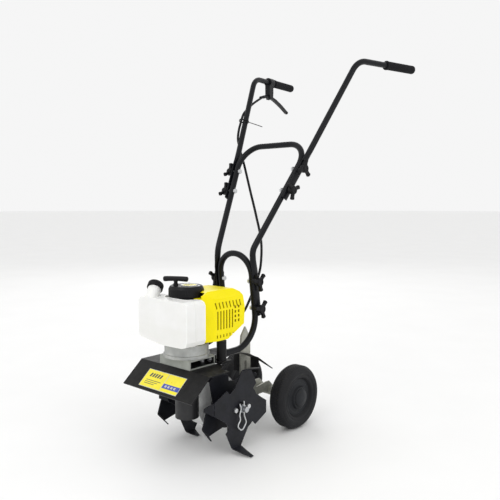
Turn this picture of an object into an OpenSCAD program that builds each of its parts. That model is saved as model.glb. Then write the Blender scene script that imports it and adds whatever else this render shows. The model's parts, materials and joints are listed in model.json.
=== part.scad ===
// Mini two-stroke tiller: worm gearbox with four clawed tine discs, fender,
// vertical-shaft engine, hoop frame, inverted-U middle frame, two upper handles,
// pair of transport wheels and a sliding drag stake.
// +Z up, +Y to the rear (operator), +X to the operator's left. Z = 0 is the ground.

/* [Frame tubes] */
// Outside radius of the frame tubes
tube_r = 8.5; // [8:0.5:9]
// Wall thickness of the frame tubes
tube_wall = 1.5; // [1.5:0.5:2]
// Height of the cross bar of the middle frame
bar_z = 811; // [790:1:830]
// Half width between the handle grips at their ends
grip_half = 239; // [225:1:242]
// Length of a hand grip
grip_len = 125; // [100:1:128]

/* [Wheels] */
// Wheel radius
wheel_r = 90; // [80:1:90]
// Wheel width
wheel_w = 50; // [40:1:50]
// Distance from the middle to the wheel centre
wheel_x = 107.4; // [105:0.1:110]
// Axle radius
axle_r = 6; // [5:0.5:6]

/* [Tines] */
// Height of the tine shaft
shaft_z = 114; // [113:0.5:115]
// Radius of the tine shaft
shaft_r = 11; // [9:0.5:11]
// Thickness of a tine disc
disc_t = 3; // [2:0.5:3]
// Middle to the inside face of an outer disc
disc_x = 110; // [108:0.5:112]
// Middle to the inside face of an inner disc
inner_x = 62; // [60:0.5:63]

/* [Engine] */
// Height of the crankshaft's big end
crank_z = 333; // [330:1:335]
// Radius of the round starter housing
starter_r = 45; // [43:1:45]
// Wall thickness of the fuel tank
tank_wall = 2.5; // [2:0.5:3]
// Wall thickness of the cylinder cover
cover_wall = 2.5; // [2:0.5:3]

/* [Fender] */
// Half width of the fender
fender_half = 131; // [120:1:131]

/* [Knobs] */
// Reach of a clamp knob's wings
wing_r = 27; // [22:1:27]

/* [Hidden] */
$fn = 48;
EY = -315;           // crankshaft and worm axis
TY = -228;           // tine shaft axis
ax_z = wheel_r;      // wheel axle height

// ---- helpers -------------------------------------------------------------
function unit(v) = v / norm(v);
function bend_pts(P, R, i, n) = let(
    u = unit(P[i] - P[i-1]), v = unit(P[i+1] - P[i]), th = acos(min(1, max(-1, u * v))),
    t = R * tan(th / 2), C = P[i] + unit(v - u) * R / cos(th / 2), x = (P[i] - u * t - C) / R)
  [for (k = [0:n]) C + R * (x * cos(th * k / n) + u * sin(th * k / n))];
// corner points P, bend radii R at the inner corners, steps N at each bend
function bent_path(P, R, N) = concat([P[0]], [for (i = [1:len(P)-2]) each bend_pts(P, R[i-1], i, N[i-1])], [P[len(P)-1]]);
function tangents(Q) = [for (i = [0:len(Q)-1]) i == 0 ? unit(Q[1] - Q[0]) : i == len(Q)-1 ? unit(Q[i] - Q[i-1])
    : unit(unit(Q[i+1] - Q[i]) + unit(Q[i] - Q[i-1]))];
function carry(T, N, i = 0) = i == len(T) ? [] : let(n = unit(N - (N * T[i]) * T[i])) concat([n], carry(T, n, i + 1));
// closed sweep of an oval section along Q; A is the half size along the carried
// direction N0 and B the half size across it, both given for every ring
module sweep(Q, A, B, N0, s = 16) {
  T = tangents(Q); N = carry(T, N0); n = len(Q);
  pts = [for (i = [0:n-1]) let(b = cross(T[i], N[i])) for (j = [0:s-1]) Q[i] + N[i] * A[i] * cos(360 * j / s) + b * B[i] * sin(360 * j / s)];
  faces = concat([[for (j = [0:s-1]) j]],
    [for (i = [0:n-2]) for (j = [0:s-1]) let(k = (j + 1) % s) [i*s + j, (i+1)*s + j, (i+1)*s + k, i*s + k]],
    [[for (j = [s-1:-1:0]) (n-1)*s + j]]);
  polyhedron(points = pts, faces = faces, convexity = 8);
}
function all(n, v) = [for (i = [0:n-1]) v];
module xcyl(r, a, b) { translate([a, 0, 0]) rotate([0, 90, 0]) cylinder(r = r, h = b - a); }
module ycyl(r, a, b) { translate([0, a, 0]) rotate([-90, 0, 0]) cylinder(r = r, h = b - a); }
module box(a, b) { translate(a) cube(b - a); }
module hexa(r, h) { cylinder(r = r, h = h, $fn = 6); }
module pair() { children(); mirror([1, 0, 0]) children(); }
module at_x(y, z) { translate([0, y, z]) children(); }
// plate in the YZ plane between x = a and x = b
module yz(P, a, b) { translate([a, 0, 0]) rotate([90, 0, 90]) linear_extrude(b - a) polygon(P); }
// plate in the XZ plane between y = a and y = b
module xz(P, a, b) { translate([0, b, 0]) rotate([90, 0, 0]) linear_extrude(b - a) polygon(P); }

// ---- frame ---------------------------------------------------------------
hoop_x = 59.4; post_y = -247; post_r = 13; leg_y = -115;
low_z = [430, 355];      // bolt heights of the lower joints
top_z = [737, 678];      // bolt heights of the upper joints
// the hoop legs lean forward going up
function hy(z) = leg_y - 0.1255 * (z - 340);
flat_x = hoop_x + tube_r + 2.85;
U0 = [flat_x, hy(335), 335]; U1 = [65.5, -133.5, 515]; U2 = [130, 40, bar_z];
function u_at(z) = U1 + (U2 - U1) * (z - U1[2]) / (U2[2] - U1[2]);
off_x = tube_r + 3.8;    // sideways step from the middle frame to the upper handle
H0 = u_at(655) + [off_x, 0, 0]; H1 = u_at(800) + [off_x, 0, 0];
H2 = [197, 172, 1049]; H3 = [grip_half, 415.01, 1053.5];
function mx(p) = [-p[0], p[1], p[2]];
hoop_c = [[hoop_x, -250, 251], [hoop_x, -105, 252.5], [hoop_x, -136.5, 504],
  [-hoop_x, -136.5, 504], [-hoop_x, -105, 252.5], [-hoop_x, -250, 251]];
hoop_q = bent_path(hoop_c, [80, hoop_x - 1, hoop_x - 1, 80], [10, 9, 9, 10]);
module leg_holes(X0, X1, zs) for (z = zs) for (s = [-1, 1]) at_x(hy(z), z) xcyl(4.2, min(s * X0, s * X1), max(s * X0, s * X1));

module lower_hoop() color([0.07, 0.07, 0.08]) difference() {
  sweep(hoop_q, all(len(hoop_q), tube_r), all(len(hoop_q), tube_r), [1, 0, 0]);
  sweep(hoop_q, all(len(hoop_q), tube_r - tube_wall), all(len(hoop_q), tube_r - tube_wall), [1, 0, 0]);
  for (s = [-1, 1]) translate([s * hoop_x, post_y, 220]) cylinder(r = post_r + 0.1, h = 80);
  for (s = [-1, 1]) translate([s * hoop_x, post_y - 8, 250]) cube([40, 20, 40], center = true);
  leg_holes(40, 80, low_z);
}
module frame_base() color([0.07, 0.07, 0.08]) difference() {
  union() {
    box([-57, -268.9, 229], [57, -264, 251]);
    box([-76, -264, 229], [76, -224, 234]);
    pair() translate([hoop_x, post_y, 226]) cylinder(r = post_r, h = 61);
  }
  for (s = [-1, 1]) translate([s * 44, 0, 240]) ycyl(4.2, -275, -255);
  for (s = [-1, 1]) translate([s * 24, -238, 220]) cylinder(r = 3.2, h = 20);
}
// the two legs end in flattened tongues that are bolted to the hoop
mid_c = [U0, [67.5, -133.5, 490], U1, U2, [0, 40, bar_z]];
mid_half = concat([U0, [flat_x, hy(464), 464], mid_c[1]], bend_pts(mid_c, 50, 2, 6), bend_pts(mid_c, 62, 3, 9), [mid_c[4]]);
mid_a = [for (p = mid_half) p[2] < 470 ? 2.75 : tube_r];
mid_b = [for (p = mid_half) p[2] < 470 ? 11.8 : tube_r];
function back(v) = [for (i = [len(v)-2:-1:0]) v[i]];
mid_q = concat(mid_half, [for (p = back(mid_half)) mx(p)]);
in_q = [for (p = mid_half) if (p[2] > 485) p];
module middle_frame() color([0.07, 0.07, 0.08]) difference() {
  sweep(mid_q, concat(mid_a, back(mid_a)), concat(mid_b, back(mid_b)), [1, 0, 0]);
  sweep(concat(in_q, [for (p = back(in_q)) mx(p)]), all(2 * len(in_q) - 1, tube_r - tube_wall), all(2 * len(in_q) - 1, tube_r - tube_wall), [1, 0, 0]);
  leg_holes(60, 90, low_z);
  for (z = top_z) for (s = [-1, 1]) at_x(u_at(z)[1], z) xcyl(4.2, s > 0 ? 80 : -140, s > 0 ? 140 : -80);
}
han_c = [H0, H1, H2, H3];
han_q = concat([H0, H0 + (H1 - H0) * 0.78, H0 + (H1 - H0) * 0.9], bend_pts(han_c, 200, 1, 2), bend_pts(han_c, 58, 2, 10), [H3]);
han_a = [for (p = han_q) p[2] < 772 ? 2.75 : tube_r];
han_b = [for (p = han_q) p[2] < 772 ? 11.8 : tube_r];
han_in = [for (p = han_q) if (p[2] > 780 && p[1] < 400) p];
// side = 1 for the left handle, -1 for the right one
function side_pts(v, k) = [for (p = v) [k * p[0], p[1], p[2]]];
module upper_handle(k) difference() {
  sweep(side_pts(han_q, k), han_a, han_b, [1, 0, 0]);
  sweep(side_pts(concat(han_in, [H3 + 40 * unit(H3 - H2)]), k), all(len(han_in) + 1, tube_r - tube_wall), all(len(han_in) + 1, tube_r - tube_wall), [1, 0, 0]);
  for (z = top_z) at_x(u_at(z)[1], z) xcyl(4.2, k > 0 ? 95 : -145, k > 0 ? 145 : -95);
}
module handle_left() color([0.07, 0.07, 0.08]) upper_handle(1);
module handle_right() color([0.07, 0.07, 0.08]) upper_handle(-1);
grip_dir = unit(H3 - H2);
grip_yaw = -atan2(grip_dir[0], grip_dir[1]); grip_pitch = asin(grip_dir[2]);
module on_grip(p) translate(p) rotate([grip_pitch, 0, grip_yaw]) children();
module hand_grips() color([0.1, 0.1, 0.11]) pair() on_grip(H3) difference() {
  union() {
    ycyl(11.9, -grip_len, 3);
    for (k = [0:13]) ycyl(12.8, -grip_len + 8 + k * 7.6, -grip_len + 12 + k * 7.6);
    ycyl(13.6, -grip_len, -grip_len + 4);
  }
  ycyl(tube_r + 0.03, -grip_len - 1, 0.1);
}
// hex head bolts through the tubes, heads inside
module clamp_bolt(x, y, z, L) translate([x, y, z]) rotate([0, 90, 0]) { translate([0, 0, -5.3]) hexa(7.2, 5.3); cylinder(r = 4, h = L); }
module clamp_bolts() color([0.75, 0.76, 0.78]) pair() {
  for (z = low_z) clamp_bolt(hoop_x - tube_r - 0.4, hy(z), z, 34);
  for (z = top_z) clamp_bolt(u_at(z)[0] - tube_r - 1.6, u_at(z)[1], z, 36);
}
// three-winged hand nut
module knob(x, y, z, a) color([0.09, 0.09, 0.1]) translate([x, y, z]) rotate([0, 90, 0]) difference() {
  union() {
    cylinder(r = 11, h = 16);
    for (k = [0:2]) rotate([0, 0, a + 120 * k]) translate([0, 0, 6.5]) linear_extrude(8.9)
      polygon([[2, -4.5], [wing_r - 9, -4.5], [wing_r - 5, -5.4], [wing_r - 1.2, -3.9], [wing_r, 0], [wing_r - 1.2, 3.9], [wing_r - 5, 5.4], [wing_r - 9, 4.5], [2, 4.5]]);
  }
  translate([0, 0, -1]) cylinder(r = 4.05, h = 14);
}
module low_knob(s, i, a) { if (s > 0) knob(flat_x + 3.2, hy(low_z[i]), low_z[i], a); else mirror([1, 0, 0]) knob(flat_x + 3.2, hy(low_z[i]), low_z[i], a); }
module top_knob(s, i, a) { if (s > 0) knob(u_at(top_z[i])[0] + off_x + 5.1, u_at(top_z[i])[1], top_z[i], a); else mirror([1, 0, 0]) knob(u_at(top_z[i])[0] + off_x + 5.1, u_at(top_z[i])[1], top_z[i], a); }
module knob_low_left_a() low_knob(1, 0, 15);
module knob_low_left_b() low_knob(1, 1, 15);
module knob_low_right_a() low_knob(-1, 0, 0);
module knob_low_right_b() low_knob(-1, 1, 15);
module knob_top_left_a() top_knob(1, 0, 45);
module knob_top_left_b() top_knob(1, 1, 345);
module knob_top_right_a() top_knob(-1, 0, 45);
module knob_top_right_b() top_knob(-1, 1, 45);

// ---- fender, guard, bracket ----------------------------------------------
module rear_guard() color([0.07, 0.07, 0.08]) difference() {
  union() {
    yz([[-257, 234.1], [-165, 234.1], [-130, 226], [-92, 209], [-86, 205.5], [-86, 208.4], [-92, 211.6], [-130, 228.6], [-165, 236.7], [-257, 236.7]], -45.5, 45.5);
    pair() intersection() {
      yz([[-92, 209], [-29, 165], [-28, 167.4], [-92, 211.6]], 20, 50);
      translate([0, 0, 100]) linear_extrude(150) polygon([[26, -93], [50, -93], [50, -28], [47, -34], [40, -60], [34, -80]]);
    }
    pair() box([20, -88.5, 156], [48, -86, 207]);
  }
  box([-6, -118, 150], [6, -66, 260]);
  for (s = [-1, 1]) translate([s * 24, -238, 220]) cylinder(r = 3.2, h = 20);
}
module engine_bracket() color([0.55, 0.56, 0.55]) difference() {
  box([-57, -357, 228], [57, -269, 252]);
  box([-60, -353, 232], [60, -273, 248]);
  translate([0, EY, 220]) cylinder(r = 12, h = 20);
  translate([0, EY, 240]) cylinder(r = 24, h = 20);
  for (x = [-24, 24]) for (y = [-32, 32]) translate([x, EY + y, 220]) cylinder(r = 4.2, h = 15);
  for (x = [-30, 30]) for (y = [-30, 30]) translate([x, EY + y, 245]) cylinder(r = 3.1, h = 10);
  for (s = [-1, 1]) translate([s * 44, 0, 240]) ycyl(4.2, -275, -260);
}
module base_bolts() color([0.75, 0.76, 0.78]) {
  for (x = [-24, 24]) for (y = [-32, 32]) translate([x, EY + y, 0]) {
    translate([0, 0, 211.5]) hexa(6.5, 5.4);
    translate([0, 0, 216.5]) cylinder(r = 4, h = 19);
    translate([0, 0, 232.1]) hexa(6.5, 5);
  }
  for (x = [-30, 30]) for (y = [-30, 30]) translate([x, EY + y, 0]) {
    translate([0, 0, 243]) hexa(5, 4.9);
    translate([0, 0, 247.5]) cylinder(r = 3, h = 8.5);
  }
  for (s = [-1, 1]) translate([s * 44, 0, 240]) { ycyl(4, -280, -258);
    translate([0, -279, 0]) rotate([-90, 0, 0]) hexa(6.5, 5.9); translate([0, -263.9, 0]) rotate([-90, 0, 0]) hexa(6.5, 5); }
  for (s = [-1, 1]) translate([s * 24, -238, 0]) { translate([0, 0, 224]) hexa(5, 4.9); translate([0, 0, 228.5]) cylinder(r = 3, h = 11); translate([0, 0, 236.8]) hexa(5, 4); }
}
module fender() color([0.07, 0.07, 0.08]) difference() {
  union() {
    yz([[-292, 228], [-359, 228], [-420, 174.4], [-418, 172.1], [-357.8, 225], [-292, 225]], -fender_half, fender_half);
    box([-57, -293, 225], [57, -273, 228]);
  }
  translate([0, EY, 220]) cylinder(r = 12, h = 20);
  for (x = [-24, 24]) for (y = [-32, 32]) translate([x, EY + y, 220]) cylinder(r = 4.2, h = 15);
}

// ---- gearbox -------------------------------------------------------------
wheel_tip = 66; worm_r = 20.5;
module gearbox_housing() color([0.62, 0.63, 0.63]) difference() {
  union() {
    translate([0, EY, 88]) cylinder(r = 31, h = 137);
    box([-33, EY - 42, 217], [33, EY + 42, 225]);
    at_x(TY, shaft_z) xcyl(71, -26, 26);
    pair() yz([[-166, 92], [-140, 92], [-140, 132], [-166, 132]], 8, 16.9);
    box([-8.5, -170, 92], [8.5, -156, 132]);
  }
  translate([0, EY, 94]) cylinder(r = 22.05, h = 20);
  translate([0, EY, 103]) cylinder(r = 24, h = 123);
  at_x(TY, shaft_z) xcyl(67, -13, 13);
  at_x(TY, shaft_z) xcyl(22.05, -27, 27);
  for (z = [104, 122]) at_x(-150, z) xcyl(4.2, -20, 20);
  for (x = [-24, 24]) for (y = [-32, 32]) translate([x, EY + y, 210]) cylinder(r = 4.2, h = 20);
}
module worm_wheel() color([0.72, 0.58, 0.3]) at_x(TY, shaft_z) difference() {
  union() {
    rotate([90, 0, 90]) translate([0, 0, -8]) linear_extrude(16)
      polygon([for (i = [0:33]) for (q = [[0.1, wheel_tip - 3.5], [0.32, wheel_tip], [0.68, wheel_tip], [0.9, wheel_tip - 3.5]]) let(a = (i + q[0]) * 360 / 34) [q[1] * cos(a), q[1] * sin(a)]]);
    xcyl(19, -12.5, 12.5);
  }
  xcyl(shaft_r + 0.02, -14, 14);
  for (k = [0:4]) rotate([k * 72, 0, 0]) translate([0, 40, 0]) xcyl(11, -14, 14);
}
module worm_shaft() color([0.6, 0.61, 0.63]) translate([0, EY, 0]) {
  translate([0, 0, 94.2]) cylinder(r = 7, h = 169.8);
  translate([0, 0, 106]) cylinder(r = worm_r - 0.3, h = 20);
}
module clutch_drum() color([0.6, 0.61, 0.63]) translate([0, EY, 0]) rotate_extrude()
  polygon([[7.05, 257.6], [39, 257.6], [39, 282], [36.4, 282], [36.4, 260.5], [11, 260.5], [11, 263.5], [7.05, 263.5]]);
module ring(a, b, h) rotate_extrude() translate([a, 0]) square([b - a, h]);
module bearings_and_seals() color([0.8, 0.8, 0.82]) {
  translate([0, EY, 94.2]) ring(7.05, 22, 7);
  translate([0, EY, 206]) ring(7.05, 23.95, 8);
  translate([0, EY, 216]) ring(7.1, 23.95, 5);
  pair() at_x(TY, shaft_z) rotate([0, 90, 0]) { translate([0, 0, 13.2]) ring(shaft_r + 0.05, 22, 7.5); translate([0, 0, 21.2]) ring(shaft_r + 0.1, 22, 4.5); }
  translate([0, EY, 293.2]) ring(8.05, 16, 7);
  translate([0, EY, 363.2]) ring(8.05, 16, 7);
}

// ---- tines ---------------------------------------------------------------
stub_r = 8; end_r = 7.5; clip_x = 121.5;
// forward turn of each disc about the shaft
left_out = 0; left_in = 45; right_in = 90; right_out = 135;
module turned(k, a) at_x(TY, shaft_z) rotate([-a, 0, 0]) { if (k > 0) children(); else mirror([1, 0, 0]) children(); }
module each_disc() { turned(1, left_out) children(0); turned(-1, right_out) children(0); turned(1, left_in) children(1); turned(-1, right_in) children(1); }
module tine_shaft() color([0.6, 0.61, 0.63]) at_x(TY, shaft_z) difference() {
  union() { xcyl(shaft_r, -118, 118); xcyl(stub_r, -124, 124); xcyl(end_r, -132, 132); }
  for (s = [-1, 1]) translate([s * clip_x, 0, -20]) cylinder(r = 2.1, h = 40);
}
module tine_hubs() color([0.09, 0.09, 0.1]) difference() {
  union() {
    pair() at_x(TY, shaft_z) xcyl(16, 29, 117.5);
    each_disc() { xcyl(32, disc_x - 4.1, disc_x - 0.05); xcyl(32, inner_x - 4.1, inner_x - 0.05); }
  }
  pair() at_x(TY, shaft_z) xcyl(shaft_r + 0.05, 28, 131);
  each_disc() { for (s = [-1, 1]) translate([0, s * 24, 0]) xcyl(4.1, disc_x - 6, disc_x + 1); for (s = [-1, 1]) translate([0, s * 24, 0]) xcyl(4.1, inner_x - 6, inner_x + 1); }
}
// one claw, pointing down, at radius rr with its tip bent sideways by reach
module claw(k, s, reach, drop) {
  yz([[-57 * k, -54 * k], [-36 * k, -97.5 * k], [-2 * k, -97.5 * k], [10 * k, -79 * k], [30 * k, -50 * k], [0, 0]], 0, disc_t);
  ang = atan2(reach, drop);
  L = norm([reach, drop]);
  translate([s > 0 ? disc_t : 0, 0, -97 * k]) rotate([0, s > 0 ? -ang : ang, 0]) translate([0, 0, 0])
    yz([[-35.2 * k, 1], [-2.8 * k, 1], [-7 * k, -L * 0.55], [-8.5 * k, -L], [-17 * k, -L], [-27 * k, -L * 0.55]], s > 0 ? -disc_t : 0, s > 0 ? 0 : disc_t);
}
module disc(k, reach_out, drop_out, reach_in, drop_in) difference() {
  union() {
    xcyl(62 * k, 0, disc_t);
    for (q = [0:3]) rotate([q * 90, 0, 0]) claw(k, q % 2 == 0 ? 1 : -1, q % 2 == 0 ? reach_out : reach_in, q % 2 == 0 ? drop_out : drop_in);
  }
  xcyl(16.1, -1, disc_t + 1);
  for (s = [-1, 1]) translate([0, s * 24, 0]) xcyl(4.1, -1, disc_t + 1);
}
module outer_tines() color([0.1, 0.1, 0.12]) each_disc() { translate([disc_x, 0, 0]) disc(1, 49, 12.6, 28, 8); union() {} }
module inner_tines() color([0.1, 0.1, 0.12]) each_disc() { union() {} translate([inner_x, 0, 0]) disc(1, 22, 11, 26, 10); }
module disc_bolts(x) for (s = [-1, 1]) translate([x, s * 24, 0]) rotate([0, 90, 0]) { translate([0, 0, disc_t + 0.1]) hexa(6.5, 5); translate([0, 0, -9]) cylinder(r = 4, h = disc_t + 10); translate([0, 0, -9.2]) hexa(6.5, 5); }
module tine_bolts() color([0.75, 0.76, 0.78]) each_disc() { disc_bolts(disc_x); disc_bolts(inner_x); }
clip_c = [[0, 0, 21], [0, 0, -16], [0, 9, -38], [0, -8, -57], [0, -26, -40], [0, -13, -26], [0, -17, -12], [0, -10.5, 2], [0, -16, 17]];
clip_q = bent_path(clip_c, [12, 9, 9, 9, 9, 9, 10], [2, 3, 3, 3, 2, 2, 2]);
module hitch_clips() color([0.8, 0.8, 0.82]) { translate([clip_x, TY, shaft_z]) sweep(clip_q, all(len(clip_q), 1.8), all(len(clip_q), 1.8), [1, 0, 0], 8);
  translate([-clip_x, TY, shaft_z]) sweep(clip_q, all(len(clip_q), 1.8), all(len(clip_q), 1.8), [1, 0, 0], 8); }

// ---- engine --------------------------------------------------------------
module clutch_housing() color([0.6, 0.61, 0.6]) translate([0, EY, 0]) difference() {
  rotate_extrude() polygon([[20, 252], [60, 252], [60, 259], [57, 261], [57, 285], [52.5, 287], [52.5, 291], [45, 291], [45, 256.8], [20, 256.8]]);
  for (x = [-30, 30]) for (y = [-30, 30]) translate([x, y, 250]) cylinder(r = 3.05, h = 8);
}
module crankcase() color([0.6, 0.61, 0.6]) difference() {
  union() {
    translate([0, EY, 291]) cylinder(r = 44, h = 82.5);
    translate([0, EY, 366]) cylinder(r = 52, h = 34.9);
    translate([0, EY, 291]) cylinder(r = 51.5, h = 5);
    box([-29, -300, 304], [29, -262.1, 362]);
  }
  translate([0, EY, 301]) cylinder(r = 33, h = 61);
  translate([0, EY, 373.5]) cylinder(r = 48, h = 30);
  translate([0, EY, 290]) cylinder(r = 9.5, h = 90);
  translate([0, EY, 293]) cylinder(r = 16.05, h = 9);
  translate([0, EY, 361]) cylinder(r = 16.05, h = 13);
  translate([0, 0, crank_z]) ycyl(20, -300, -260);
}
module cylinder_barrel() difference() {
  union() {
    translate([0, 0, crank_z]) { ycyl(24, -262, -226); ycyl(18, -227, -216); }
    for (k = [0:6]) box([-33, -262 + k * 7.2, max(crank_z - 33, crank_z - 33 + (k - 1) * 4.1)], [33, -259.4 + k * 7.2, crank_z + 33]);
    box([-44, -245, crank_z - 11], [-20, -229, crank_z + 11]);
    box([20, -245, crank_z - 11], [43.8, -229, crank_z + 11]);
  }
  translate([0, 0, crank_z]) ycyl(20, -263, -226.6);
  translate([0, 0, crank_z]) ycyl(5, -227, -215);
  at_x(-237, crank_z) xcyl(7, -45, 45);
}
module cylinder_() color([0.62, 0.63, 0.64]) cylinder_barrel();
module piston() color([0.8, 0.8, 0.82]) translate([0, 0, crank_z]) { difference() { ycyl(19.9, -256, -227.6); ycyl(15, -257, -232); }
  translate([0, -245, -19]) cylinder(r = 4, h = 38); }
module connecting_rod() color([0.5, 0.5, 0.52]) translate([0, 0, crank_z - 3.4]) difference() {
  union() { translate([0, -300, 0]) cylinder(r = 10, h = 6.8); translate([0, -245, 0]) cylinder(r = 7.5, h = 6.8); box([-4.5, -296, 0.5], [4.5, -248, 6.3]); }
  translate([0, -300, -1]) cylinder(r = 6.05, h = 9);
  translate([0, -245, -1]) cylinder(r = 4.05, h = 9);
}
module crankshaft() color([0.5, 0.5, 0.52]) translate([0, EY, 0]) {
  translate([0, 0, 266]) cylinder(r = 8, h = crank_z - 10 - 266 + 1);
  translate([0, 0, crank_z - 10]) cylinder(r = 28, h = 6);
  translate([0, 15, crank_z - 5]) cylinder(r = 6, h = 10);
  translate([0, 0, crank_z + 4]) cylinder(r = 28, h = 6);
  translate([0, 0, crank_z + 9]) cylinder(r = 8, h = 398 - crank_z - 9);
}
module clutch_shoes() color([0.45, 0.42, 0.38]) translate([0, EY, 0]) {
  for (k = [0, 180]) rotate([0, 0, k + 14]) translate([0, 0, 267]) rotate_extrude(angle = 152) translate([20, 0]) square([15, 12]);
  translate([0, 0, 280]) ring(8.05, 30, 3);
}
module flywheel() color([0.6, 0.61, 0.63]) translate([0, EY, 0]) {
  difference() { translate([0, 0, 377]) cylinder(r = 43, h = 8); translate([0, 0, 376]) cylinder(r = 8.05, h = 12); }
  for (k = [0:11]) rotate([0, 0, 30 * k]) box([20, -1.2, 384.5], [42, 1.2, 394]);
}
module spark_plug() color([0.85, 0.85, 0.83]) translate([0, 0, crank_z]) { ycyl(4.9, -221, -214); translate([0, -214.1, 0]) rotate([-90, 0, 0]) hexa(9, 5); ycyl(6, -210, -196); ycyl(3, -197, -190); }
module muffler() color([0.5, 0.45, 0.4]) difference() {
  yz([[-268, 304], [-238, 304], [-206, 322], [-206, 362], [-268, 362]], 46, 76);
  yz([[-266, 306], [-238.6, 306], [-208, 323.2], [-208, 360], [-266, 360]], 48, 74);
  at_x(-237, crank_z) xcyl(7, 44, 50);
  at_x(-215, 315) xcyl(5, 70, 80);
}
module carburetor() color([0.66, 0.67, 0.68]) difference() {
  union() { box([-74, -256, 316], [-46, -226, 352]); box([-74.5, -249, 350], [-70, -233, 369]); at_x(-241, crank_z) xcyl(13, -80, -45); translate([-60, 0, 343]) ycyl(4, -227, -218); }
  at_x(-241, crank_z) xcyl(8, -82, -44);
}
module air_filter() color([0.1, 0.1, 0.11]) difference() {
  yz([[-284, 312], [-278, 304], [-212, 304], [-206, 312], [-206, 372], [-214, 382], [-276, 382], [-284, 372]], -112, -80.1);
  yz([[-281.5, 313], [-277, 306.5], [-213, 306.5], [-208.5, 313], [-208.5, 371], [-215, 379.5], [-275, 379.5], [-281.5, 371]], -109.5, -82.6);
  at_x(-241, crank_z) xcyl(8, -84, -79);
  for (k = [0:4]) box([-113, -272 + k * 12, 318], [-108, -266 + k * 12, 350]);
}
module choke_lever() color([0.1, 0.1, 0.11]) at_x(-241, 361) { xcyl(7, -78.6, -75); box([-78.6, 0, -3.5], [-75, 42, 3.5]); box([-80, 38, -4.5], [-75, 46, 4.5]); }

// shroud over the cylinder, with cooling slots on its left side
cov_yz = [[-324, 294], [-246, 294], [-185, 326], [-182, 372], [-191, 411], [-206, 420], [-300, 420], [-324, 412]];
cov_xz = [[-42, 294], [82, 294], [82, 402], [62, 420], [-30, 420], [-42, 408]];
cov_xy = [[-42, -324], [66, -324], [82, -290], [82, -182], [-42, -182]];
w = cover_wall;
cin_yz = [[-326, 294 + w], [-246 - w * 0.3, 294 + w], [-185 - w, 326 + w * 0.5], [-182 - w, 372], [-191 - w, 411 - w * 0.6], [-206 - w * 0.4, 420 - w], [-326, 420 - w]];
cin_xz = [[-42 + w, 294], [82 - w, 294], [82 - w, 402 - w * 0.5], [62 - w * 0.5, 420 - w], [-30 + w * 0.3, 420 - w], [-42 + w, 408 - w * 0.5]];
cin_xy = [[-42 + w, -328], [66 - w, -328], [66 - w, -324 - w * 0.5], [82 - w, -290 - w * 0.3], [82 - w, -182 - w], [-42 + w, -182 - w]];
module solid3(a, b, c) intersection() { yz(a, -60, 100); xz(b, -340, -170); translate([0, 0, 280]) linear_extrude(160) polygon(c); }
module cylinder_cover() color([0.96, 0.83, 0.02]) difference() {
  union() {
    difference() { solid3(cov_yz, cov_xz, cov_xy); solid3(cin_yz, cin_xz, cin_xy); translate([0, EY, 280]) cylinder(r = 54, h = 121); }
    translate([0, 0, 401.2]) linear_extrude(3.3) polygon([[20, -325.9], [65, -325.9], [79, -295], [79, -250], [-39, -250], [-39, -290]]);
  }
  translate([0, EY, 400]) cylinder(r = 41.5, h = 30);
  translate([0, EY, 404.5]) cylinder(r = starter_r + 0.8, h = 40);
  box([-50, -258, 318], [-38, -216, 352]);
  box([-38, -262, 290], [60, -250, 298]);
  for (k = [0:7]) translate([82, -288 + k * 12.6, 384]) rotate([18, 0, 0]) cube([10, 4, 18], center = true);
  for (k = [0:5]) box([76, -284 + k * 10.6, 322], [90, -279.6 + k * 10.6, 370]);
  for (j = [0:1]) for (k = [0:3]) translate([82, -218 + j * 13, 338 + k * 12]) cube([10, 6, 7], center = true);
  for (k = [0:5]) translate([82, -284 + k * 11.5, 305]) cube([10, 4, 8], center = true);
}
tank_c = [[-100, 314], [-96, 304], [-86, 299.5], [-5, 289], [66, 291], [80, 295], [85, 306], [85, 390], [81, 399], [72, 403.5], [-86, 404.5], [-96, 401], [-100, 391]];
tank_i = [[-97.5, 315], [-94, 306], [-85, 302], [-5, 291.6], [65.5, 293.6], [78.4, 297], [82.5, 307], [82.5, 389], [79, 397], [71, 401], [-85, 402], [-94, 399], [-97.5, 390]];
tilt = [-40, -28, 0];
neck_p = [-66.5, -373, 404];
module fuel_tank() color([0.93, 0.93, 0.89]) difference() {
  union() {
    difference() { xz(tank_c, -391, -328); translate([0, EY, 280]) cylinder(r = 54, h = 140); }
    translate(neck_p) rotate(tilt) cylinder(r = 15.5, h = 40);
    intersection() {
      translate(neck_p) rotate(tilt) translate([0, 0, -26]) cylinder(r = 17, h = 50.4);
      box([-110, -390.4, 402.6], [0, -330, 450]);
    }
  }
  difference() { xz(tank_i, -388.5, -330.5); translate([0, EY, 280]) cylinder(r = 56.5, h = 140); }
  translate(neck_p) rotate(tilt) translate([0, 0, -7]) cylinder(r = 12.5, h = 60);
}
module fuel_cap() color([0.08, 0.08, 0.09]) translate(neck_p) rotate(tilt) translate([0, 0, 25]) difference() {
  union() {
    linear_extrude(15) polygon([for (i = [0:71]) let(r = i % 4 < 2 ? 21 : 19.8) [r * cos(i * 5), r * sin(i * 5)]]);
    translate([0, 0, 14.9]) cylinder(r1 = 19.5, r2 = 16, h = 4, $fn = 48);
  }
  translate([0, 0, -1]) cylinder(r = 15.6, h = 17.2);
}
rope_x = -15; rope_y = -337;
module starter_housing() color([0.08, 0.08, 0.09]) difference() {
  union() {
    translate([0, EY, 0]) rotate_extrude() polygon([[starter_r, 404.7], [starter_r, 426], [starter_r - 4, 433], [0, 433], [0, 405], [5, 405], [5, 430], [starter_r - 6.5, 430], [starter_r - 3.5, 425], [starter_r - 3.5, 404.7]]);
    translate([rope_x, rope_y, 431]) cylinder(r = 6.5, h = 8);
  }
  translate([rope_x, rope_y, 420]) cylinder(r = 2.6, h = 30);
}
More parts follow.
